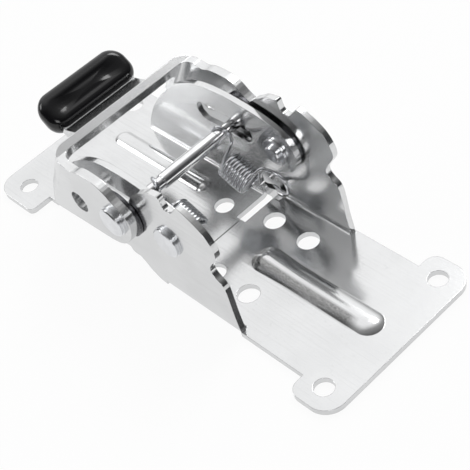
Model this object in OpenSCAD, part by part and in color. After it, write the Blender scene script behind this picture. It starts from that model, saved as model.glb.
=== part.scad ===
// Self-locking folding hinge. Two pressed plates turn about one axis.
// A sprung cross rod, drawn back by a bail lever, drops into notches of the ears.
// X runs along the plates, Y is the fold axis, Z is up.
// X = 0 is under the fold axis and Z = 0 is the mounting face.

/* [Sheet] */
// sheet thickness of both plates
sheet_t = 2; // [1.6:0.1:2.2]
// inner radius of the bends
bend_r = 1; // [0.6:0.1:1.2]

/* [Ear plate] */
// length of the ear plate from the fold axis to its end
ear_plate_l = 66.4; // [64:0.2:80]
// distance from the middle to the outer face of an ear
ear_half = 25.5; // [25:0.1:25.8]
// half width over the end tabs of the ear plate
ear_tab_half = 32.3; // [31:0.1:36]
// length of the end tabs along the ear plate
ear_tab_l = 16.2; // [14:0.2:20]
// diameter of the two middle screw holes
mid_hole_d = 7.5; // [5:0.1:8]
// diameter of the two screw holes under the fold axis
axis_hole_d = 7.3; // [5:0.1:8]

/* [Leg plate] */
// length of the leg plate from the fold axis to its end
leg_plate_l = 94.3; // [92:0.2:110]
// distance from the middle to the outer face of a cheek
cheek_half = 22.5; // [22:0.1:22.6]
// half width of the flat part of the leg plate
leg_half = 24; // [23:0.1:26]
// half width over the end tabs of the leg plate
leg_tab_half = 32.5; // [31:0.1:36]
// length of the end tabs along the leg plate
leg_tab_l = 20.8; // [18:0.2:22]
// diameter of the two inner screw holes of the leg plate
leg_hole_d = 6.7; // [5:0.1:8]

/* [Mounting] */
// diameter of the four corner screw holes
corner_hole_d = 6.5; // [4:0.1:8]
// distance between the corner holes across the plates
corner_pitch = 50; // [48:0.5:52]

/* [Mechanism] */
// height of the fold axis over the mounting face
axis_z = 27; // [26.5:0.1:27.5]
// diameter of the pivot rivets
pivot_d = 6; // [5:0.1:7]
// diameter of the outer rivet heads
pivot_head_d = 10.6; // [9:0.1:12]
// diameter of the middle of the cross rod
rod_d = 5.2; // [4.6:0.1:5.4]
// diameter of the thinner ends of the cross rod
journal_d = 4.2; // [3.8:0.1:4.4]
// distance of the cross rod from the fold axis, latch closed
rod_x = 20.2; // [20:0.1:21.5]
// diameter of the rod heads outside the lever
rod_head_d = 10.6; // [9:0.1:12]
// height of the slots in the cheeks
slot_h = 7.4; // [6:0.1:8]
// diameter of the spacer discs beside the ears
spacer_d = 17; // [14:0.5:18]

/* [Lever] */
// sheet thickness of the bail lever
lever_t = 3; // [2.6:0.1:3.2]
// distance from the middle to the outer face of a lever arm
arm_half = 29.8; // [29.5:0.1:31]
// lean of the cross strap from the vertical
strap_lean = 30; // [28:1:32]
// height of the top edge of the cross strap
strap_top = 41; // [40.5:0.1:42]
// height of the cross strap along its own lean
strap_h = 6.1; // [5:0.1:7]
// diameter of the round hole in each lever arm
arm_hole_d = 7.7; // [5:0.1:9]
// width of the tab under the grip
tab_w = 30.6; // [26:0.2:32]
// width of the dipped grip
grip_w = 36.4; // [35:0.2:40]
// length of the dipped grip along the tab
grip_l = 13.4; // [12.6:0.2:15]
// thickness of the dipped grip
grip_t = 7; // [6.4:0.1:7.6]

/* [Springs] */
// wire diameter of the springs
wire_d = 1.2; // [1:0.1:1.4]
// outside diameter of the coils
coil_d = 9.5; // [8.6:0.1:10]
// number of turns of each coil
coil_turns = 8; // [6:1:9]
// distance from the middle to each coil axis
coil_y = 12; // [11:0.1:13]

/* [Hidden] */
$fn = 64;
seam_x = -9.5;
seam_gap = 0.3;
seam_half = 7.3;
notch_end = 21.5;
notch_front = -7.5;
notch_rear = -11.6;
ear_foot_x = 24.2;
bend_out = bend_r + sheet_t;
tab_corner_r = 7;
ear_in = ear_half - sheet_t;
cheek_in = cheek_half - sheet_t;
arm_in = arm_half - lever_t;
slot_z = 27.6;
slot_rear = -36.4;
slot_front = -10.4;
ear_corner_x = 58;
leg_corner_x = -84.3;
ear_rows = [15.15, 0];
ear_row_y = 13.4;
leg_hole_x = -18.85;
leg_hole_y = 8.6;
leg_cheek_x = -69.4;
// pressed beads: start, end, distance from the middle, half width, rise, drop of the far end
ear_bead = [5.2, 57.8, 0, 5.4, 2.3, 2.6];
leg_bead = [-77, -29, 11, 3.3, 1.5, 0];
pivot_run = 0.05;
fit_run = 0.02;
spacer_gap = 0.25;
washer_gap = 0.1;
washer_d = 13;
ring_d = 9.6;
ring_t = 0.8;
stub_l = 2.2;
pivot_head_h = 1.7;
rod_head_h = 2.1;
journal_y = 14;
arm_hole = [-38.8, 24.6];
corner_r = 6;
window_half = 23.5;
window_r = 3;
grip_r = 5.6;
grip_rise = 32;
tab_b = [-60.6, 31.4];
grip_mid = 7.9;
tab_end = 12;
hook_y = 14.8;
hook_pitch = 3.2;
wire_gap = 0.05;
coil_a = [-14.5, 20.6];
coil_b = [-5.3, 17.3];

zinc = [0.80, 0.82, 0.84];
black = [0.05, 0.05, 0.06];

// outlines of the ear and the cheek as seen from the side, X and Z
ear_front = [
  [24.2, 3], [23.9, 5], [23.4, 10], [23.2, 15], [22.9, 19.3], [22.3, 21.4], [21.2, 22.6],
  [19.8, 23.5], [18.7, 24.7], [18.25, 26.2], [18.7, 27.7], [20.2, 29.9], [22.2, 32.8],
  [22.9, 34.6], [22.8, 37], [21.7, 39.7], [19.7, 42.2], [17, 44.1], [14, 45.7], [11.2, 46.9],
  [10, 46.7], [8.2, 44.5], [6.9, 43], [5.7, 42.3], [4.6, 42.3], [3.6, 42.4], [2.9, 43.2],
  [2.5, 44.6], [2.3, 46], [1.7, 46.7], [1, 46.5], [-1.1, 46.1], [-3.5, 45.4], [-6.1, 43.7],
  [-8.2, 42.5]
];
ear_low = [
  [-16.2, 25], [-16.8, 24.5], [-21.5, 24.5], [-23.8, 24.2], [-24.8, 23], [-25.1, 20],
  [-25.1, 14], [-24.9, 10], [-24.1, 7.6], [-22.6, 7.1], [-20.8, 7.3], [-18.9, 6.1],
  [-16.5, 3.6], [-13.3, 1.6], [-9.7, 0.8], [-9.5, 1.6], [-9.5, 3]
];
cheek_top = [
  [-69.4, 3], [-68.6, 5.4], [-66.6, 9.6], [-63, 15.4], [-58.3, 21.4], [-51.7, 28.2],
  [-45.8, 33], [-40, 36.3], [-34.6, 38.4], [-29, 39.6], [-22, 40], [-15.7, 39.8],
  [-9.9, 39.4], [-5.2, 38.9], [-0.4, 37.9], [4.2, 36], [7.4, 33.2], [8.9, 30], [9, 27],
  [7.7, 23.6], [5, 20.6], [1.6, 18.5], [-2.6, 17], [-7, 14.8], [-10.5, 11.8], [-12.6, 8.6],
  [-13, 6.5], [-12.4, 5.3], [-11.4, 5.2]
];
cheek_nose = [[-4.9, 7.3], [-4.7, 2.3], [-11.6, 2.3], [-11.6, 3]];
arm_side = [
  [-44.91, 39.5], [-42, 39.2], [-40.4, 38.9], [-37, 38.8], [-33.4, 40], [-29, 40.3], [-25, 40],
  [-21.6, 38.6], [-18.6, 36.2], [-15.4, 34.3], [-13.3, 32.4], [-12.3, 29.8], [-12.6, 26.6],
  [-13.9, 23.4], [-16.4, 20], [-20, 17.2], [-24.5, 15.8], [-30, 15.3], [-42, 14.6],
  [-54, 13.8], [-56, 13.9], [-56.5, 15], [-56, 18], [-55.2, 22], [-55, 23]
];
// past the back of the strap, along its upper edge and the lower ends of its bends
arm_back = [[-66, 29.35], [-66, 51.65], [-47.55, 41]];

// smooth curve through a row of points
function knot(a, b, c, d, t) =
  0.5 * (2 * b + (c - a) * t + (2 * a - 5 * b + 4 * c - d) * t * t
  + (3 * b - a - 3 * c + d) * t * t * t);
function smooth(p, n) = concat(
  [for (i = [0 : len(p) - 2]) for (k = [0 : n - 1])
    knot(p[max(i - 1, 0)], p[i], p[i + 1], p[min(i + 2, len(p) - 1)], k / n)],
  [p[len(p) - 1]]);
function arc(r, from, to, n) =
  [for (k = [0 : n]) let (a = from + (to - from) * k / n) [r * cos(a), axis_z + r * sin(a)]];

// upright sheet wall: a side outline given thickness across Y
module wall(points, y0, y1) {
  translate([0, y1, 0])
    rotate([90, 0, 0])
      linear_extrude(y1 - y0)
        polygon(points);
}

// folded corner between the flat plate and an upright wall, on the +Y side
module fold(x0, x1, outer_y) {
  translate([x0, outer_y - bend_out, bend_out])
    rotate([90, 0, 90])
      linear_extrude(x1 - x0)
        intersection() {
          difference() {
            circle(bend_out);
            circle(bend_r);
          }
          translate([0, -bend_out])
            square(bend_out);
        }
}

// flat rectangle with two rounded corners at the X end given by dir
module end_tab(x_end, len, half, r, dir) {
  for (s = [-1, 1])
    translate([x_end - dir * r, s * (half - r)])
      circle(r);
  translate([min(x_end, x_end - dir * len), -half + r])
    square([len, 2 * (half - r)]);
  translate([min(x_end - dir * r, x_end - dir * len), -half])
    square([len - r, 2 * half]);
}

module mirrored_y() {
  children();
  mirror([0, 1, 0])
    children();
}

// pressed bead: a part sunk cylinder with ball ends; drop tilts its far end
module bead(b) {
  x0 = b[0];
  x1 = b[1];
  y = b[2];
  half_w = b[3];
  rise = b[4];
  drop = b[5];
  r = (half_w * half_w + rise * rise) / (2 * rise);
  span = x1 - x0 - 2 * half_w * (drop > 0 ? 0.5 : 1);
  tilt = atan(drop / span);
  translate([x0 + half_w, y, sheet_t + rise - r])
    rotate([0, tilt, 0]) {
      sphere(r, $fn = 96);
      rotate([0, 90, 0])
        cylinder(h = span, r = r, $fn = 96);
      if (drop == 0)
        translate([span, 0, 0])
          sphere(r, $fn = 96);
    }
}

// the raised side of a bead, without what lies under the sheet
module pressed(b) {
  intersection() {
    bead(b);
    translate([b[0] - 1, b[2] - 2 * b[3], 0.2 * sheet_t])
      cube([b[1] - b[0] + 2, 4 * b[3], b[4] + 2 * sheet_t]);
  }
}

module ear_flat() {
  difference() {
    union() {
      translate([seam_x, -ear_half])
        square([ear_plate_l - seam_x - 1, 2 * ear_half]);
      end_tab(ear_plate_l, ear_tab_l, ear_tab_half, tab_corner_r, 1);
    }
    // room for the folded corners of the ears
    for (s = [-1, 1])
      translate([seam_x - 1, s * (ear_half - bend_out / 2) - bend_out / 2])
        square([ear_foot_x - seam_x + 1, bend_out]);
    // clearance notches beside the seam
    for (s = [-1, 1])
      translate([seam_x - 1, s > 0 ? seam_half : -notch_end])
        square([notch_front - seam_x + 1, notch_end - seam_half]);
    for (s = [-1, 1]) {
      translate([ear_corner_x, s * corner_pitch / 2])
        circle(d = corner_hole_d);
      translate([ear_rows[0], s * ear_row_y])
        circle(d = mid_hole_d);
      translate([ear_rows[1], s * ear_row_y])
        circle(d = axis_hole_d);
    }
  }
}

module ear_plate() {
  outline = concat(smooth(ear_front, 3), arc(17.2, 132, 186, 14), ear_low);
  color(zinc)
    difference() {
      union() {
        linear_extrude(sheet_t)
          ear_flat();
        pressed(ear_bead);
        mirrored_y() {
          fold(seam_x, ear_foot_x, ear_half);
          wall(outline, ear_in, ear_half);
        }
      }
      // the bead is hollow beneath
      translate([0, 0, -sheet_t])
        bead(ear_bead);
      translate([0, ear_half + 1, axis_z])
        rotate([90, 0, 0])
          cylinder(h = 2 * ear_half + 2, d = pivot_d + 2 * fit_run);
    }
}

module leg_flat() {
  difference() {
    union() {
      translate([-leg_plate_l + 1, -leg_half])
        square([leg_plate_l + leg_cheek_x - 1, 2 * leg_half]);
      translate([leg_cheek_x - 1, -cheek_half + bend_out])
        square([seam_x - seam_gap - leg_cheek_x + 1, 2 * (cheek_half - bend_out)]);
      end_tab(-leg_plate_l, leg_tab_l, leg_tab_half, tab_corner_r, -1);
    }
    for (s = [-1, 1]) {
      translate([notch_rear, s > 0 ? seam_half : -notch_end])
        square([5, notch_end - seam_half]);
      translate([leg_corner_x, s * corner_pitch / 2])
        circle(d = corner_hole_d);
      translate([leg_hole_x, s * leg_hole_y])
        circle(d = leg_hole_d);
    }
  }
}

module leg_plate() {
  outline = concat(smooth(cheek_top, 3), cheek_nose);
  color(zinc)
    difference() {
      union() {
        linear_extrude(sheet_t)
          leg_flat();
        mirrored_y() {
          pressed(leg_bead);
          fold(leg_cheek_x, notch_rear, cheek_half);
          wall(outline, cheek_in, cheek_half);
        }
      }
      mirrored_y()
        translate([0, 0, -sheet_t])
          bead(leg_bead);
      // slots that guide the cross rod
      translate([0, cheek_half + 1, slot_z])
        rotate([90, 0, 0])
          linear_extrude(2 * cheek_half + 2) {
            for (x = [slot_rear + slot_h / 2, slot_front - slot_h / 2])
              translate([x, 0])
                circle(d = slot_h);
            translate([slot_rear + slot_h / 2, -slot_h / 2])
              square([slot_front - slot_rear - slot_h, slot_h]);
          }
      translate([0, cheek_half + 1, axis_z])
        rotate([90, 0, 0])
          cylinder(h = 2 * cheek_half + 2, d = pivot_d + 2 * pivot_run);
    }
}

// bent strip seen along its bends: a U with rounded corners
module lever_plan() {
  difference() {
    rounded_u(strap_x, arm_half, corner_r);
    rounded_u(strap_x + lever_t, arm_in, corner_r - lever_t);
  }
}

module rounded_u(x_back, half, r) {
  for (s = [-1, 1])
    translate([x_back + r, s * (half - r)])
      circle(r);
  translate([x_back, -half + r])
    square([80, 2 * (half - r)]);
  translate([x_back + r, -half])
    square([80 - r, 2 * half]);
}

// back face of the strap, its upper and lower edge, all measured along its lean
strap_x = -47.55 * cos(strap_lean) - strap_top * sin(strap_lean);
strap_z1 = -47.55 * sin(strap_lean) + strap_top * cos(strap_lean);
strap_z0 = strap_z1 - strap_h;
strap_mid = strap_x + lever_t / 2;
tab_a = [strap_mid * cos(strap_lean) + strap_z0 * sin(strap_lean),
  strap_z0 * cos(strap_lean) - strap_mid * sin(strap_lean)];
tab_c = tab_b + tab_end * [-cos(grip_rise), sin(grip_rise)];

// everything below the strap is cut away between the two bends
module strap_window() {
  flat = window_half - window_r;
  rotate([0, strap_lean, 0])
    translate([strap_x - 1, 0, 0])
      rotate([90, 0, 90])
        linear_extrude(lever_t + 2) {
          translate([-window_half, -30])
            square([2 * window_half, 30 + strap_z0 - window_r]);
          translate([-flat, -30])
            square([2 * flat, 30 + strap_z0]);
          for (s = [-1, 1])
            translate([s * flat, strap_z0 - window_r])
              circle(window_r);
        }
}

// stretch of sheet seen edge on, with round ends
module strip(a, b, grow) {
  d = b - a;
  translate(a)
    rotate(atan2(d[1], d[0]))
      translate([0, -lever_t / 2 - grow])
        square([norm(d) + grow, lever_t + 2 * grow]);
  translate(a)
    circle(d = lever_t + 2 * grow);
}

// cranked tab: outward and a little down from the strap, then up inside the grip
module tab(grow) {
  translate([0, tab_w / 2 + grow, 0])
    rotate([90, 0, 0])
      linear_extrude(tab_w + 2 * grow) {
        strip(tab_a, tab_b, grow);
        strip(tab_b, tab_c, grow);
      }
}

module lever() {
  side = concat(smooth(arm_side, 3), arm_back);
  color(zinc)
    difference() {
      union() {
        difference() {
          intersection() {
            rotate([0, strap_lean, 0])
              linear_extrude(130, center = true)
                lever_plan();
            wall(side, -arm_half - 1, arm_half + 1);
          }
          strap_window();
        }
        tab(0);
      }
      translate([-rod_x, arm_half + 1, slot_z])
        rotate([90, 0, 0])
          cylinder(h = 2 * arm_half + 2, d = journal_d + 2 * fit_run);
      translate([arm_hole[0], arm_half + 1, arm_hole[1]])
        rotate([90, 0, 0])
          cylinder(h = 2 * arm_half + 2, d = arm_hole_d);
    }
}

// one rounded corner of the grip, a disc with a full round rim
module grip_corner() {
  rotate_extrude() {
    translate([grip_r - grip_t / 2, 0])
      intersection() {
        circle(d = grip_t);
        translate([0, -grip_t / 2])
          square(grip_t);
      }
    translate([0, -grip_t / 2])
      square([grip_r - grip_t / 2, grip_t]);
  }
}

module grip() {
  a = grip_l / 2 - grip_r;
  b = grip_w / 2 - grip_r;
  color(black)
    difference() {
      translate([tab_b[0], 0, tab_b[1]])
        rotate([0, 180 + grip_rise, 0])
          translate([grip_mid, 0, 0]) {
            for (sx = [-1, 1])
              for (sy = [-1, 1])
                translate([sx * a, sy * b, 0])
                  grip_corner();
            for (s = [-1, 1]) {
              translate([-a, s * (grip_w / 2 - grip_t / 2), 0])
                rotate([0, 90, 0])
                  cylinder(h = 2 * a, d = grip_t);
              translate([s * (grip_l / 2 - grip_t / 2), b, 0])
                rotate([90, 0, 0])
                  cylinder(h = 2 * b, d = grip_t);
            }
            translate([-a, -grip_w / 2 + grip_t / 2, -grip_t / 2])
              cube([2 * a, grip_w - grip_t, grip_t]);
            translate([-grip_l / 2 + grip_t / 2, -b, -grip_t / 2])
              cube([grip_l - grip_t, 2 * b, grip_t]);
          }
      tab(fit_run);
    }
}

// thick in the middle, with thinner ends through the slots and the lever arms
module lock_rod() {
  color(zinc)
    translate([-rod_x, 0, slot_z])
      rotate([90, 0, 0]) {
        cylinder(h = 2 * arm_half, d = journal_d, center = true);
        cylinder(h = 2 * journal_y, d = rod_d, center = true);
      }
}

// turned head with a stepped rim, from its seat to its face
function head(d, h) = [[d / 2, 0], [d / 2, 0.33 * h], [d / 2 - 0.4, 0.38 * h],
  [d / 2 - 0.4, 0.46 * h], [d / 2 - 0.2, 0.52 * h], [d / 2 - 0.2, 0.75 * h],
  [d / 2 - 0.7, 0.93 * h], [0, h]];

module rod_head_left() {
  color(zinc)
    translate([-rod_x, -arm_half, slot_z])
      rotate([90, 0, 0])
        rotate_extrude()
          polygon(concat([[0, 0]], head(rod_head_d, rod_head_h)));
}

module rod_head_right() {
  mirror([0, 1, 0])
    rod_head_left();
}

// flat ring on an axis along Y, from y0 towards the left
module flat_ring(x, y0, z, t, outer_d, bore_d) {
  translate([x, y0, z])
    rotate([90, 0, 0])
      linear_extrude(t)
        difference() {
          circle(d = outer_d);
          circle(d = bore_d + 2 * fit_run);
        }
}

module spacer_disc_left() {
  color(black)
    flat_ring(-rod_x, -ear_half - spacer_gap, slot_z, arm_in - ear_half - spacer_gap,
      spacer_d, journal_d);
}

module spacer_disc_right() {
  mirror([0, 1, 0])
    spacer_disc_left();
}

// outer head, shank through ear, washer and cheek, and a plain stub inside
module pivot_rivet_left() {
  shank_end = cheek_in - stub_l - ear_half;
  color(zinc)
    translate([0, -ear_half, axis_z])
      rotate([90, 0, 0])
        rotate_extrude()
          polygon(concat([[0, shank_end], [pivot_d / 2 - 0.4, shank_end],
            [pivot_d / 2, shank_end + 0.4], [pivot_d / 2, 0]],
            head(pivot_head_d, pivot_head_h)));
}

module pivot_rivet_right() {
  mirror([0, 1, 0])
    pivot_rivet_left();
}

module pivot_washer_left() {
  color(zinc)
    flat_ring(0, -cheek_half - washer_gap, axis_z, ear_in - cheek_half - washer_gap,
      washer_d, pivot_d);
}

module pivot_washer_right() {
  mirror([0, 1, 0])
    pivot_washer_left();
}

module pivot_ring_left() {
  color(zinc)
    flat_ring(0, -cheek_in + washer_gap + ring_t, axis_z, ring_t, ring_d, pivot_d);
}

module pivot_ring_right() {
  mirror([0, 1, 0])
    pivot_ring_left();
}

// round wire swept along a row of points
function unit(v) = v / norm(v);
function tangent(p, i) = unit(p[min(i + 1, len(p) - 1)] - p[max(i - 1, 0)]);
function slide(n, t) = unit(n - (n * t) * t);
function sides(p) = [for (i = 0, n = slide([0.1, 0.3, 0.9], tangent(p, 0)); i < len(p);
  i = i + 1, n = i < len(p) ? slide(n, tangent(p, i)) : n) n];

module wire(p, r, m) {
  n = sides(p);
  c = len(p);
  ring = [for (i = [0 : c - 1]) let (t = tangent(p, i), b = cross(t, n[i]))
    for (k = [0 : m - 1]) p[i] + r * (cos(360 * k / m) * n[i] + sin(360 * k / m) * b)];
  skin = [for (i = [0 : c - 2]) for (k = [0 : m - 1]) let (a = i * m + k, b = i * m + (k + 1) % m)
    each [[a, a + m, b], [b, a + m, b + m]]];
  polyhedron(ring, concat([[for (k = [0 : m - 1]) k]], skin,
    [[for (k = [m - 1 : -1 : 0]) (c - 1) * m + k]]));
}

// way from the hook into the coil, and the end loop laid over the cheek finger
spring_lead = [[-17.2, 16.6, 24], [-16.4, 12.2, 21.4]];
spring_loop = [
  [-3.4, 14.6, 21.6], [-1.2, 16.4, 21.5], [1.4, 17.6, 20.3], [3.4, 18.4, 17.6],
  [3.9, 18.8, 14.2], [2.4, 19.2, 11], [-0.8, 19.8, 9.2], [-4.2, 20.8, 8.4], [-6.4, 21.4, 7.6]
];

// hook over the rod beside its shoulder, close coil, end loop
module spring_right() {
  rc = coil_d / 2 - wire_d / 2;
  steps = coil_turns * 16;
  axis = unit([coil_b[0] - coil_a[0], 0, coil_b[1] - coil_a[1]]);
  run = norm(coil_b - coil_a);
  across = [0, 1, 0];
  third = cross(axis, across);
  hook_r = journal_d / 2 + wire_d / 2 + wire_gap;
  hook = [for (k = [0 : 12]) let (a = 205 - 235 * k / 12)
    [-rod_x + hook_r * cos(a), hook_y + hook_pitch * k / 12, slot_z + hook_r * sin(a)]];
  coil = [for (k = [0 : steps]) let (a = 190 + 22.5 * k)
    [coil_a[0], coil_y, coil_a[1]] + axis * run * k / steps
    + rc * (cos(a) * across + sin(a) * third)];
  lead = smooth(concat([hook[12]], spring_lead, [coil[0]]), 4);
  loop = smooth(concat([coil[steps]], spring_loop), 3);
  path = concat(hook, [for (i = [1 : len(lead) - 2]) lead[i]], coil,
    [for (i = [1 : len(loop) - 1]) loop[i]]);
  color(zinc)
    wire(path, wire_d / 2, 8);
}

module spring_left() {
  mirror([0, 1, 0])
    spring_right();
}

ear_plate();
leg_plate();
lever();
grip();
lock_rod();
rod_head_left();
rod_head_right();
spacer_disc_left();
spacer_disc_right();
pivot_rivet_left();
pivot_rivet_right();
pivot_washer_left();
pivot_washer_right();
pivot_ring_left();
pivot_ring_right();
spring_left();
spring_right();
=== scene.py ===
import math

import bmesh
import bpy
import numpy as np
from mathutils import Matrix, Vector

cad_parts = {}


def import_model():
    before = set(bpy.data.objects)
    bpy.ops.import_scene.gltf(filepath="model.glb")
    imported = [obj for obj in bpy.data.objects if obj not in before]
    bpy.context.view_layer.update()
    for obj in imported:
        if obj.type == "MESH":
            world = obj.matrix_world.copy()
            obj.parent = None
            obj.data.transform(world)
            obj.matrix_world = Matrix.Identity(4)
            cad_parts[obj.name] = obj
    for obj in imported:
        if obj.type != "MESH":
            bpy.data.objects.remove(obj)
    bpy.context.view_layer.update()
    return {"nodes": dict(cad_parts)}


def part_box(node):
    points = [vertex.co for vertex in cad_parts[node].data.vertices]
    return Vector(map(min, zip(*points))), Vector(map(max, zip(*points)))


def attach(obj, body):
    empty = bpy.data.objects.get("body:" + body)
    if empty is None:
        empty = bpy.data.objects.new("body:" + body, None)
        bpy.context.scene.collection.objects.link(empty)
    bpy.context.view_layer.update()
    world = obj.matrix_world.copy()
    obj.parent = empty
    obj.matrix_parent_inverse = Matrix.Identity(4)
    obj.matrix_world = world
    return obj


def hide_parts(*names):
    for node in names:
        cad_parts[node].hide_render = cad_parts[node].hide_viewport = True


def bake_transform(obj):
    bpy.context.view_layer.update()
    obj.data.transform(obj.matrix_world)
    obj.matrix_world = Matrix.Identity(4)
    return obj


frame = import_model()
nodes = frame["nodes"]

MM = 0.001
SIDES = {"left": -1, "right": 1}


def box(node):
    """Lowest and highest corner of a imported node, in millimetres to a tenth."""
    return [np.round(np.array(corner) / MM, 1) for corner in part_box(node)]


# materials
class Tree:
    """A node tree with short calls for the nodes that the materials use."""

    def __init__(self, tree):
        self.nodes = tree.nodes
        self.links = tree.links
        self.coordinates = None

    def feed(self, value, socket):
        """Link an output to a socket, or set the socket to a number or a colour."""
        if isinstance(value, (int, float)):
            socket.default_value = value
        elif isinstance(value, tuple):
            socket.default_value = (*value, 1)
        else:
            self.links.new(value, socket)

    def calc(self, operation, a, b):
        node = self.nodes.new("ShaderNodeMath")
        node.operation = operation
        self.feed(a, node.inputs[0])
        self.feed(b, node.inputs[1])
        return node.outputs[0]

    def mix(self, factor, a, b):
        node = self.nodes.new("ShaderNodeMix")
        node.data_type = "RGBA"
        colour_a, colour_b = (socket for socket in node.inputs if socket.type == "RGBA")
        self.feed(factor, node.inputs[0])
        self.feed(a, colour_a)
        self.feed(b, colour_b)
        return next(socket for socket in node.outputs if socket.type == "RGBA")

    def ranged(self, value, known, wanted):
        """The value moved from the known range to the wanted one, and held inside it."""
        node = self.nodes.new("ShaderNodeMapRange")
        for socket, number in zip(node.inputs[1:5], (*known, *wanted)):
            socket.default_value = number
        self.feed(value, node.inputs[0])
        return node.outputs[0]

    def within(self, value, low, high, fade):
        """1 between low and high, fading to 0 outside."""
        rise = self.ranged(value, (low - fade, low), (0, 1))
        fall = self.ranged(value, (high, high + fade), (1, 0))
        return self.calc("MULTIPLY", rise, fall)

    def place(self, scale=(1, 1, 1), turn=(0, 0, 0)):
        """Object coordinates, scaled and turned."""
        if self.coordinates is None:
            self.coordinates = self.nodes.new("ShaderNodeTexCoord")
        node = self.nodes.new("ShaderNodeMapping")
        node.inputs["Scale"].default_value = scale
        node.inputs["Rotation"].default_value = turn
        self.feed(self.coordinates.outputs["Object"], node.inputs["Vector"])
        return node.outputs[0]

    def noise(self, vector, scale, detail, rough):
        node = self.nodes.new("ShaderNodeTexNoise")
        node.inputs["Scale"].default_value = scale
        node.inputs["Detail"].default_value = detail
        node.inputs["Roughness"].default_value = rough
        self.feed(vector, node.inputs["Vector"])
        return node.outputs["Fac"]

    def bump(self, height, strength, distance, normal=None):
        node = self.nodes.new("ShaderNodeBump")
        node.inputs["Strength"].default_value = strength
        node.inputs["Distance"].default_value = distance
        self.feed(height, node.inputs["Height"])
        if normal is not None:
            self.feed(normal, node.inputs["Normal"])
        return node.outputs[0]

    def rounded(self, radius):
        """Normals that round the edges off."""
        node = self.nodes.new("ShaderNodeBevel")
        node.samples = 6
        node.inputs["Radius"].default_value = radius
        return node.outputs[0]


def material(name):
    made = bpy.data.materials.new(name)
    made.use_nodes = True
    tree = Tree(made.node_tree)
    return made, tree, tree.nodes["Principled BSDF"]


def darker(colour, share):
    return tuple(c * share for c in colour)


# the -Y flank of the ear plate's bead, where painted shade darkens the plate:
# low, high and fade along each axis, in metres
SHADED_FLANK = {"X": (0.0065, 0.047, 0.004), "Y": (-0.0046, -0.0018, 0.0009), "Z": (0.0021, 0.006, 0.0003)}


# painted shade: a mask that is 1 on the bead's shaded -Y flank
def painted_flank_shade(t):
    split = t.nodes.new("ShaderNodeSeparateXYZ")
    t.feed(t.place(), split.inputs[0])
    along, across, above = (t.within(split.outputs[axis], *SHADED_FLANK[axis]) for axis in "XYZ")
    return t.calc("MULTIPLY", t.calc("MULTIPLY", along, across), above)


def painted_shade_grains(t):
    """Dark and light grains that paint the shade on the bead's flank."""
    grains = t.noise(t.place(), scale=2600, detail=2, rough=0.7)
    return t.mix(t.ranged(grains, (0.35, 0.65), (0.12, 0.42)), (0.1, 0.1, 0.1), (0.8, 0.8, 0.8))


def sheet_metal(name, colour, rough, turn, wave, edge, pressed=False):
    """Bright plated sheet: rolling lines along the strip, soft dents and small stains; if pressed,
    painted shade on the bead's flank.
    """
    made, t, shader = material(name)
    lines = t.noise(t.place((30, 1500, 1500), turn), scale=1, detail=4, rough=0.65)
    cloud = t.noise(t.place(), scale=55, detail=3, rough=0.55)
    specks = t.noise(t.place(), scale=900, detail=2, rough=0.6)
    dents = t.noise(t.place(), scale=38, detail=1, rough=0.4)
    tone = t.mix(t.ranged(cloud, (0.35, 0.7), (0, 1)), colour, darker(colour, 0.93))
    tone = t.mix(t.ranged(lines, (0.5, 0.8), (0, 0.35)), tone, darker(colour, 0.78))
    tone = t.mix(t.ranged(specks, (0.62, 0.8), (0, 0.35)), tone, darker(colour, 0.7))
    # painted shade: on the pressed ear plate, the bead's flank is darkened with grains
    if pressed:
        tone = t.mix(painted_flank_shade(t), tone, painted_shade_grains(t))
    t.feed(tone, shader.inputs["Base Color"])
    shader.inputs["Metallic"].default_value = 1
    spread = t.calc("MULTIPLY", t.calc("SUBTRACT", lines, 0.5), 0.16)
    base = t.calc("ADD", spread, rough)
    t.feed(t.calc("ADD", base, t.calc("MULTIPLY", cloud, 0.06)), shader.inputs["Roughness"])
    soft = t.bump(dents, strength=wave, distance=0.0012, normal=t.rounded(edge))
    fine = t.bump(lines, strength=0.12, distance=0.00006, normal=soft)
    t.feed(fine, shader.inputs["Normal"])
    return made


def turned_steel(name, colour, rough, scratch, edge):
    """Turned or drawn steel with faint marks."""
    made, t, shader = material(name)
    marks = t.noise(t.place((2600, 300, 2600)), scale=1, detail=3, rough=0.6)
    cloud = t.noise(t.place(), scale=240, detail=2, rough=0.5)
    tone = t.mix(t.ranged(cloud, (0.3, 0.75), (0, 1)), colour, darker(colour, 0.86))
    t.feed(tone, shader.inputs["Base Color"])
    shader.inputs["Metallic"].default_value = 1
    t.feed(t.ranged(marks, (0.3, 0.7), (rough, rough + 0.1)), shader.inputs["Roughness"])
    fine = t.bump(marks, strength=scratch, distance=0.00004, normal=t.rounded(edge))
    t.feed(fine, shader.inputs["Normal"])
    return made


def blackened_steel(name):
    """Dark oiled disc with a metal sheen."""
    made, t, shader = material(name)
    marks = t.noise(t.place((500, 500, 500)), scale=1, detail=3, rough=0.6)
    t.feed(t.mix(marks, (0.05, 0.05, 0.055), (0.14, 0.14, 0.15)), shader.inputs["Base Color"])
    shader.inputs["Metallic"].default_value = 0.9
    t.feed(t.ranged(marks, (0.3, 0.7), (0.2, 0.34)), shader.inputs["Roughness"])
    return made


def dipped_black(name):
    """Glossy dipped coating, smooth with a faint skin."""
    made, t, shader = material(name)
    skin = t.noise(t.place(), scale=260, detail=2, rough=0.5)
    wave = t.noise(t.place(), scale=60, detail=1, rough=0.5)
    tone = t.mix(wave, (0.004, 0.004, 0.005), (0.008, 0.008, 0.009))
    t.feed(tone, shader.inputs["Base Color"])
    t.feed(t.ranged(skin, (0.3, 0.7), (0.1, 0.16)), shader.inputs["Roughness"])
    shader.inputs["Specular IOR Level"].default_value = 0.42
    t.feed(t.bump(wave, strength=0.12, distance=0.0012), shader.inputs["Normal"])
    return made


# meshes
def in_scene(name, data):
    made = bpy.data.objects.new(name, data)
    bpy.context.scene.collection.objects.link(made)
    return made


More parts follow.
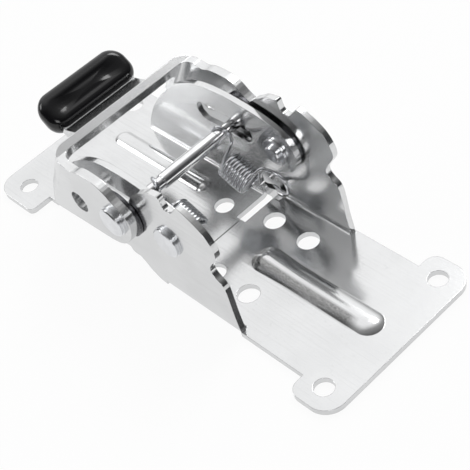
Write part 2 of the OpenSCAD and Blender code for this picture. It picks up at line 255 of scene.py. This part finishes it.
def rows_mesh(name, rows):
    """A closed skin over equally long rows of points, in millimetres, with flat ends."""
    n = len(rows[0])
    last = (len(rows) - 1) * n
    faces = [tuple(range(n)), tuple(last + k for k in range(n))]
    for i in range(0, last, n):
        for k in range(n):
            m = (k + 1) % n
            faces.append((i + k, i + m, i + n + m, i + n + k))
    mesh = bpy.data.meshes.new(name)
    mesh.from_pydata([tuple(c * MM for c in point) for row in rows for point in row], [], faces)
    shape = bmesh.new()
    shape.from_mesh(mesh)
    bmesh.ops.recalc_face_normals(shape, faces=shape.faces)
    shape.to_mesh(mesh)
    shape.free()
    return mesh


def ring(count):
    """Cosine and sine of evenly spaced angles round a circle."""
    return [(math.cos(math.tau * k / count), math.sin(math.tau * k / count)) for k in range(count)]


# a normal's largest part, from which its face counts as square to an axis
SQUARE = 0.9995


def smooth_skin(mesh, finish, sharp):
    """Smooth shading, crisp above the sharp angle; faces square to an axis are left flat."""
    mesh.materials.clear()
    mesh.materials.append(finish)
    # the sharp edges come first, because that call smooths every face
    mesh.set_sharp_from_angle(angle=math.radians(sharp))
    bent = [max(abs(c) for c in face.normal) < SQUARE for face in mesh.polygons]
    mesh.polygons.foreach_set("use_smooth", bent)


def settled(piece):
    """The mesh that the piece's modifiers make of it; the piece itself is removed."""
    graph = bpy.context.evaluated_depsgraph_get()
    done = bpy.data.meshes.new_from_object(piece.evaluated_get(graph))
    bpy.data.objects.remove(piece)
    return done


def carved(mesh, steps):
    """The mesh after a list of cuts and joins with tool meshes."""
    blank = in_scene("blank", mesh)
    tools = []
    for operation, shape in steps:
        tools.append(in_scene("tool", shape))
        cut = blank.modifiers.new("cut", "BOOLEAN")
        cut.operation = operation
        cut.solver = "EXACT"
        cut.object = tools[-1]
    done = settled(blank)
    for tool in tools:
        bpy.data.objects.remove(tool)
    return done


# plates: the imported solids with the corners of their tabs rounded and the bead's nose filled out
SHEET = 2
SPARE = 1
EAR_HIGH = box("ear_plate")[1]
LEG_LOW, LEG_HIGH = box("leg_plate")
EAR_TAB = 16.2
LEG_TAB = 20.8
EAR_CORNER_R = 4
LEG_CORNER_R = 2
BEAD_START = 10.8
BEAD_NOSE = 52.6
BEAD_Z = -4.6
BEAD_R = 8.2
ROOM_HALF = 9
ROOM_END = 66


def prism(outline, z0, z1):
    return rows_mesh("prism", [[(x, y, z) for x, y in outline] for z in (z0, z1)])


def corner_cutters(x, half, r, to_end, count=8):
    """What round corners of radius r take off the seam side, at x, of a plate's two tabs."""
    made = []
    clear = x - to_end * SPARE
    for side in SIDES.values():
        outline = [(clear, side * (half + SPARE)), (clear, side * (half - r))]
        for k in range(count + 1):
            a = math.radians(90 * k / count)
            outline.append((x + to_end * r * (1 - math.cos(a)), side * (half - r * (1 - math.sin(a)))))
        outline.append((x + to_end * r, side * (half + SPARE)))
        made.append(("DIFFERENCE", prism(outline, -SPARE, SHEET + SPARE)))
    return made


def bead_bar(z):
    """Round bar along X with ball ends, whose top is the bead."""
    rows = []
    for turn in range(-84, 85, 7):
        a = math.radians(turn)
        x = (BEAD_START if a < 0 else BEAD_NOSE) + BEAD_R * math.sin(a)
        r = BEAD_R * math.cos(a)
        rows.append([(x, r * c, z + r * s) for c, s in ring(count=72)])
    return rows_mesh("bead_bar", rows)


def merged_copy(name):
    """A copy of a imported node's mesh with its loose triangles joined."""
    mesh = nodes[name].data.copy()
    shape = bmesh.new()
    shape.from_mesh(mesh)
    bmesh.ops.remove_doubles(shape, verts=shape.verts, dist=1e-6)
    shape.to_mesh(mesh)
    shape.free()
    return mesh


def finished_plate(name, steps, finish, body):
    mesh = carved(merged_copy(name), steps)
    smooth_skin(mesh, finish, sharp=24)
    piece = in_scene(f"pressed_{name}", mesh)
    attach(piece, body)
    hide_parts(name)


def plates(finish):
    half = ROOM_HALF
    room = prism([(0, -half), (ROOM_END, -half), (ROOM_END, half), (0, half)], SHEET / 2, half)
    bead = carved(bead_bar(BEAD_Z), [("INTERSECT", room)])
    steps = [("UNION", bead), ("DIFFERENCE", bead_bar(BEAD_Z - SHEET))]
    steps += corner_cutters(EAR_HIGH[0] - EAR_TAB, EAR_HIGH[1], EAR_CORNER_R, to_end=1)
    finished_plate("ear_plate", steps, finish, "ear_body")
    steps = corner_cutters(LEG_LOW[0] + LEG_TAB, LEG_HIGH[1], LEG_CORNER_R, to_end=-1)
    finished_plate("leg_plate", steps, finish, "leg_body")


# lock rod: thick between the two hooks, thinner ends; the thick part sits a little to the right
ROD_LOW, ROD_HIGH = box("lock_rod")
ROD_X = (ROD_LOW[0] + ROD_HIGH[0]) / 2
SLOT_Z = (ROD_LOW[2] + ROD_HIGH[2]) / 2
ROD_HALF = ROD_HIGH[1]
ROD_R = 2.6
JOURNAL_R = 2.1
THICK_LEFT = -10
THICK_RIGHT = 13.6
RIM_R = 2.35
RIM_L = 0.3
ROD_PROFILE = [(-ROD_HALF, JOURNAL_R), (THICK_LEFT, JOURNAL_R), (THICK_LEFT, RIM_R),
               (THICK_LEFT + RIM_L, ROD_R), (THICK_RIGHT - RIM_L, ROD_R),
               (THICK_RIGHT, RIM_R), (THICK_RIGHT, JOURNAL_R), (ROD_HALF, JOURNAL_R)]


def lock_rod(finish):
    rows = [[(ROD_X + r * c, y, SLOT_Z + r * s) for c, s in ring(count=48)]
            for y, r in ROD_PROFILE]
    mesh = rows_mesh("cross_rod", rows)
    smooth_skin(mesh, finish, sharp=25)
    piece = in_scene("cross_rod", mesh)
    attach(piece, "latch_body")
    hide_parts("lock_rod")


# springs: one wire from the hook over the rod to the loop on the cheek finger
WIRE_R = 0.6
WIRE_SIDES = 14
COIL_R = 4.15
COIL_Y = 12
COIL_TURNS = 8
COIL_FIRST = 190
COIL_A = np.array((-14.5, COIL_Y, 20.6))
COIL_B = np.array((-5.3, COIL_Y, 17.3))
HOOK_R = 2.75
HOOK_Y = {"left": 10.8, "right": 14.4}
HOOK_PITCH = 3.2
HOOK_FIRST = 205
HOOK_TURN = -235
LEAD_BACK = 1.2
LEAD_X = -17.2
LEAD_Z = 24
LEAD_LOW = (-16.4, 12.2, 21.4)
LOOP = [(-3.4, 14.6, 21.6), (-1.2, 16.4, 21.5), (1.4, 17.6, 20.3), (3.4, 18.4, 17.6),
        (3.9, 18.8, 14.2), (2.4, 19.2, 11), (-0.8, 19.8, 9.2), (-4.2, 20.8, 8.4), (-6.4, 21.4, 7.6)]


def between(a, b, c, d, t):
    """A point on the smooth curve from b to c, where a and d are their neighbours."""
    return 0.5 * (2 * b + (c - a) * t + (2 * a - 5 * b + 4 * c - d) * t * t
                  + (3 * b - a - 3 * c + d) * t ** 3)


def smooth_run(points, count):
    p = [np.array(point, float) for point in points]
    made = []
    for i in range(len(p) - 1):
        before = p[max(i - 1, 0)]
        after = p[min(i + 2, len(p) - 1)]
        made += [between(before, p[i], p[i + 1], after, k / count) for k in range(count)]
    return made + [p[-1]]


def hook_points(start, count):
    made = []
    for k in range(count + 1):
        a = math.radians(HOOK_FIRST + HOOK_TURN * k / count)
        made.append(np.array((ROD_X + HOOK_R * math.cos(a), start + HOOK_PITCH * k / count,
                              SLOT_Z + HOOK_R * math.sin(a))))
    return made


def coil_points(per_turn):
    run = COIL_B - COIL_A
    across = np.array((0, 1, 0))
    upright = np.cross(run / np.linalg.norm(run), across)
    steps = COIL_TURNS * per_turn
    made = []
    for k in range(steps + 1):
        a = math.radians(COIL_FIRST + 360 * k / per_turn)
        made.append(COIL_A + run * k / steps + COIL_R * (math.cos(a) * across + math.sin(a) * upright))
    return made


def spring_path(side):
    hook = hook_points(HOOK_Y[side], count=28)
    coil = coil_points(per_turn=40)
    lead_high = (LEAD_X, hook[-1][1] - LEAD_BACK, LEAD_Z)
    lead = smooth_run([hook[-1], lead_high, LEAD_LOW, coil[0]], count=8)
    loop = smooth_run([coil[-1]] + LOOP, count=8)
    return hook + lead[1:-1] + coil + loop[1:]


def wire_tree(finish):
    """Route to round wire: the radius and the number of sides are named inputs."""
    tree = bpy.data.node_groups.new("round_wire", "GeometryNodeTree")
    ports = tree.interface
    ports.new_socket("Route", in_out="INPUT", socket_type="NodeSocketGeometry")
    radius = ports.new_socket("Wire Radius", in_out="INPUT", socket_type="NodeSocketFloat")
    sides = ports.new_socket("Wire Sides", in_out="INPUT", socket_type="NodeSocketInt")
    ports.new_socket("Wire", in_out="OUTPUT", socket_type="NodeSocketGeometry")
    first, curve, circle, sweep, shade, real, paint, last = (tree.nodes.new(kind) for kind in (
        "NodeGroupInput", "GeometryNodeMeshToCurve", "GeometryNodeCurvePrimitiveCircle",
        "GeometryNodeCurveToMesh", "GeometryNodeSetShadeSmooth", "GeometryNodeRealizeInstances",
        "GeometryNodeSetMaterial", "NodeGroupOutput"))
    sweep.inputs["Fill Caps"].default_value = True
    paint.inputs["Material"].default_value = finish
    tree.links.new(first.outputs["Wire Radius"], circle.inputs["Radius"])
    tree.links.new(first.outputs["Wire Sides"], circle.inputs["Resolution"])
    tree.links.new(circle.outputs[0], sweep.inputs["Profile Curve"])
    chain = (first, curve, sweep, shade, real, paint, last)
    for before, after in zip(chain, chain[1:]):
        tree.links.new(before.outputs[0], after.inputs[0])
    return tree, radius.identifier, sides.identifier


def spring(side, finish, wire):
    tree, radius, sides = wire
    path = [Vector((x, SIDES[side] * y, z)) * MM for x, y, z in spring_path(side)]
    line = bpy.data.meshes.new("spring_route")
    line.from_pydata(path, [(i, i + 1) for i in range(len(path) - 1)], [])
    route = in_scene("spring_route", line)
    modifier = route.modifiers.new("wire", "NODES")
    modifier.node_group = tree
    modifier[radius] = WIRE_R * MM
    modifier[sides] = WIRE_SIDES
    mesh = settled(route)
    mesh.materials.clear()
    mesh.materials.append(finish)
    piece = in_scene(f"coil_spring_{side}", mesh)
    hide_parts(f"spring_{side}")
    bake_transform(piece)


# grip: a pillow with a full round rim and two shallow finger dimples
GRIP_W = 2 * box("grip")[1][1]
GRIP_L = 13.6
GRIP_T = 7
GRIP_R = 5.6
GRIP_RISE = math.radians(34)
GRIP_ROOT = Vector((-60.6, 0, 31.4))
GRIP_MID = 7.5
GRIP_BOW = 0.9
GRIP_SAG = 3.2
DIMPLE_DEPTH = 0.8
DIMPLE_Y = GRIP_W / 4
DIMPLE_SPREAD_X = 2.8
DIMPLE_SPREAD_Y = 3.4


def rounded_outline(half_x, half_y, r, count):
    """Points round a rectangle with rounded corners."""
    made = []
    for k, (sx, sy) in enumerate(((1, 1), (-1, 1), (-1, -1), (1, -1))):
        for i in range(count + 1):
            a = math.radians(90 * k + 90 * i / count)
            made.append((sx * (half_x - r) + r * math.cos(a), sy * (half_y - r) + r * math.sin(a)))
    return made


def grip_rows():
    """Rings from the middle of the underside, round the rim, to the middle of the top."""
    half_t = GRIP_T / 2
    rim = []
    for turn in range(-90, 91, 9):
        a = math.radians(turn)
        inset = half_t * (1 - math.cos(a))
        outline = rounded_outline(GRIP_L / 2 - inset, GRIP_W / 2 - inset, GRIP_R - inset, count=12)
        rim.append([(x, y, half_t * math.sin(a)) for x, y in outline])
    shrink = [k / 10 for k in range(1, 10)]
    below = [[(x * s, y * s, z) for x, y, z in rim[0]] for s in shrink]
    above = [[(x * s, y * s, z) for x, y, z in rim[-1]] for s in reversed(shrink)]
    return below + rim + above


def dimple(x, y):
    depth = 0.0
    for middle in (-DIMPLE_Y, DIMPLE_Y):
        depth += math.exp(-((y - middle) / DIMPLE_SPREAD_Y) ** 2 - (x / DIMPLE_SPREAD_X) ** 2)
    return DIMPLE_DEPTH * depth


def grip_point(x, y, z):
    """Where a point of the plain pillow lies once it is bowed, deepened, dimpled and in place."""
    bow = GRIP_BOW * (1 - (2 * y / GRIP_W) ** 2) * max(x, 0) * 2 / GRIP_L
    sag = GRIP_SAG * (0.5 - x / GRIP_L) * min(max(-z * 2 / GRIP_T, 0), 1)
    dip = dimple(x, y) if z > 0 else 0
    along = Vector((-math.cos(GRIP_RISE), 0, math.sin(GRIP_RISE)))
    across = Vector((0, -1, 0))
    up = along.cross(across)
    return GRIP_ROOT + along * (GRIP_MID + x + bow) + across * y + up * (z - sag - dip)


def grip(finish):
    mesh = rows_mesh("dipped_grip", [[grip_point(*point) for point in row] for row in grip_rows()])
    smooth_skin(mesh, finish, sharp=180)
    piece = in_scene("dipped_grip", mesh)
    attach(piece, "latch_body")
    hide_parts("grip")


# the finishes and the pieces that wear them
def dress(names, finish):
    for name in names:
        node = nodes[name]
        node.data.materials.clear()
        node.data.materials.append(finish)


def hinge():
    zinc = (0.72, 0.725, 0.73)
    # this finish paints shade on the bead's -Y flank
    plate = sheet_metal("zinc_plated_sheet", zinc, rough=0.13, turn=(0, 0, 0), wave=0.18,
                        edge=0.00025, pressed=True)
    satin = sheet_metal("zinc_plated_lever", zinc, rough=0.2, turn=(0, 0, 0.2), wave=0.15,
                        edge=0.0003)
    rod = turned_steel("polished_rod", (0.9, 0.9, 0.91), rough=0.07, scratch=0.08, edge=0.0002)
    rivet = turned_steel("rivet_steel", (0.8, 0.81, 0.83), rough=0.16, scratch=0.15, edge=0.0002)
    plates(plate)
    dress(["lever"], satin)
    lock_rod(rod)
    for part in ("rod_head", "pivot_rivet", "pivot_washer", "pivot_ring"):
        dress([f"{part}_{side}" for side in SIDES], rivet)
    dress([f"spacer_disc_{side}" for side in SIDES], blackened_steel("dark_spacer"))
    drawn = turned_steel("spring_wire", (0.66, 0.67, 0.69), rough=0.14, scratch=0.1, edge=0.0001)
    wire = wire_tree(drawn)
    for side in SIDES:
        spring(side, drawn, wire)
    grip(dipped_black("dipped_grip"))


# studio
FLOOR_SEEN = 0.94
FLOOR_MIRRORED = 0.8
FLOOR_Z = -0.0002


def white_floor():
    """Pale floor: white to the camera and light to reflections, with a light shadow."""
    made, t, shader = material("studio_floor")
    shader.inputs["Base Color"].default_value = (0.9, 0.9, 0.9, 1)
    shader.inputs["Roughness"].default_value = 0.9
    path = t.nodes.new("ShaderNodeLightPath")
    glow = t.nodes.new("ShaderNodeEmission")
    glow.inputs["Strength"].default_value = 1
    mix = t.nodes.new("ShaderNodeMixShader")
    seen = t.calc("MULTIPLY", path.outputs["Is Camera Ray"], FLOOR_SEEN)
    mirrored = t.calc("MULTIPLY", path.outputs["Is Glossy Ray"], FLOOR_MIRRORED)
    t.feed(t.calc("ADD", seen, mirrored), mix.inputs[0])
    t.feed(shader.outputs[0], mix.inputs[1])
    t.feed(glow.outputs[0], mix.inputs[2])
    t.feed(mix.outputs[0], t.nodes["Material Output"].inputs["Surface"])
    bpy.ops.mesh.primitive_plane_add(size=6, location=(0, 0, FLOOR_Z))
    floor = bpy.context.object
    floor.name = "studio_floor"
    floor.data.materials.append(made)


# the brightest direction of the room, and its grey by the cosine of the angle to that
CEILING = Vector((-0.6, 0.38, 0.7)).normalized()
ROOM_GREYS = ((0.2, 0.09), (0.45, 0.22), (0.62, 0.3), (0.78, 0.84), (0.86, 1))
ROOM_DARK = (0.05, 0.05, 0.052, 1)
ROOM_LIGHT = (1, 1, 1, 1)
ROOM_STRENGTH = 1.16


def room_light(t):
    """A bright ceiling behind the object in a dim room."""
    where = t.nodes.new("ShaderNodeTexCoord")
    aim = t.nodes.new("ShaderNodeVectorMath")
    aim.operation = "DOT_PRODUCT"
    aim.inputs[1].default_value = CEILING
    t.feed(where.outputs["Generated"], aim.inputs[0])
    ramp = t.nodes.new("ShaderNodeValToRGB")
    stops = ramp.color_ramp.elements
    stops[0].color = ROOM_DARK
    stops[1].color = ROOM_LIGHT
    for position, grey in ROOM_GREYS:
        stop = stops.new(position)
        stop.color = (grey, grey, grey, 1)
    t.feed(aim.outputs["Value"], ramp.inputs[0])
    return ramp.outputs[0]


def world():
    """White to the camera, and a room to all else."""
    made = bpy.data.worlds.new("studio")
    bpy.context.scene.world = made
    made.use_nodes = True
    t = Tree(made.node_tree)
    t.nodes.clear()
    path = t.nodes.new("ShaderNodeLightPath")
    room = t.nodes.new("ShaderNodeBackground")
    room.inputs["Strength"].default_value = ROOM_STRENGTH
    t.feed(room_light(t), room.inputs["Color"])
    white = t.nodes.new("ShaderNodeBackground")
    white.inputs["Strength"].default_value = 1
    mix = t.nodes.new("ShaderNodeMixShader")
    t.feed(path.outputs["Is Camera Ray"], mix.inputs[0])
    t.feed(room.outputs[0], mix.inputs[1])
    t.feed(white.outputs[0], mix.inputs[2])
    out = t.nodes.new("ShaderNodeOutputWorld")
    t.feed(mix.outputs[0], out.inputs["Surface"])


def lamp(name, place, target, size, power):
    """Square soft lamp at a place, aimed at a target."""
    data = bpy.data.lights.new(name, "AREA")
    data.shape = "SQUARE"
    data.size = size
    data.energy = power
    stand = in_scene(name, data)
    stand.location = place
    stand.rotation_mode = "QUATERNION"
    stand.rotation_quaternion = (Vector(target) - Vector(place)).to_track_quat("-Z", "Y")


def lights():
    lamp("key", place=(-0.2, 0.8, 1.0), target=(0, 0, 0), size=0.5, power=5)
    lamp("fill", place=(0.9, -0.75, 0.7), target=(0, 0, 0.01), size=0.5, power=3)
    lamp("side", place=(-0.9, -0.6, 0.5), target=(-0.02, 0, 0.02), size=0.4, power=2)


# camera: its place in metres, its turns in degrees and its focal length in pixels
CAMERA_PLACE = (0.238766, -0.153226, 0.292192)
CAMERA_HEADING = 57.741
CAMERA_TILT = 44.946
CAMERA_ROLL = -16.4193
CAMERA_FOCAL = 1279.816
PHOTO_WIDTH = 470
SENSOR_WIDTH = 36


def camera():
    data = bpy.data.cameras.new("photo_view")
    data.sensor_width = SENSOR_WIDTH
    data.lens = SENSOR_WIDTH * CAMERA_FOCAL / PHOTO_WIDTH
    data.clip_start = 0.01
    data.clip_end = 10
    turns = ((CAMERA_HEADING, "Z"), (CAMERA_TILT, "X"), (CAMERA_ROLL, "Z"))
    heading, tilt, roll = (Matrix.Rotation(math.radians(turn), 4, axis) for turn, axis in turns)
    view = in_scene("photo_view", data)
    view.matrix_world = Matrix.Translation(CAMERA_PLACE) @ heading @ tilt @ roll
    bpy.context.scene.camera = view


hinge()
white_floor()
world()
lights()
camera()
bpy.context.scene.view_settings.view_transform = "Standard"
